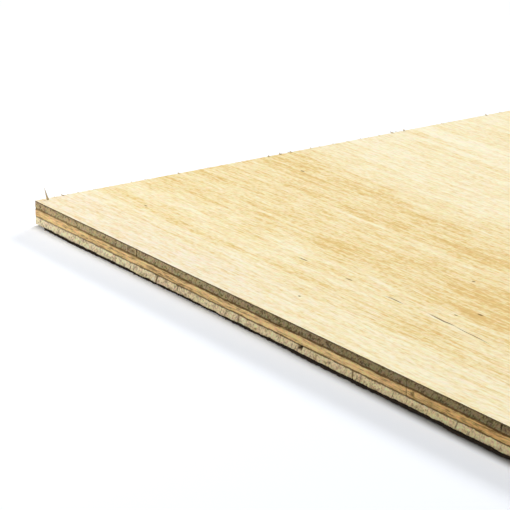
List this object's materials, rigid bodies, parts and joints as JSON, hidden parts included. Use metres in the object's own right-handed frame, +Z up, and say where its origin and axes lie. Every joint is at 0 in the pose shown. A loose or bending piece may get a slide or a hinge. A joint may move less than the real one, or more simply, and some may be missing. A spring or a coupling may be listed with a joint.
{
  "type": "plywood sheet",
  "caption": "Thin rectangular plywood sheet of cross-laminated hardwood veneers, lying flat, with sawn edges that show the lay-up and a pale long-grain face.",
  "frame": {"origin": "middle of the underside, on the floor that the sheet lies on", "axes": "+X along the length and the face grain, +Y across the width, +Z up out of the face veneer; the corner that the picture shows is at -X, -Y"},
  "size_m": [2.44, 1.22, 0.009],
  "materials": {
    "face_veneer": "smooth peeled veneer, pale straw with golden streaks",
    "upper_crossband": "sawn end grain, grey-brown",
    "core_veneer": "sawn long grain, orange-tan",
    "lower_crossband": "sawn end grain, pale beige",
    "back_veneer": "smooth peeled veneer, reddish brown"
  },
  "bodies": {
    "root": {"face_veneer": "face_veneer", "upper_crossband": "upper_crossband", "core_veneer": "core_veneer", "lower_crossband": "lower_crossband", "back_veneer": "back_veneer"}
  },
  "joints": []
}
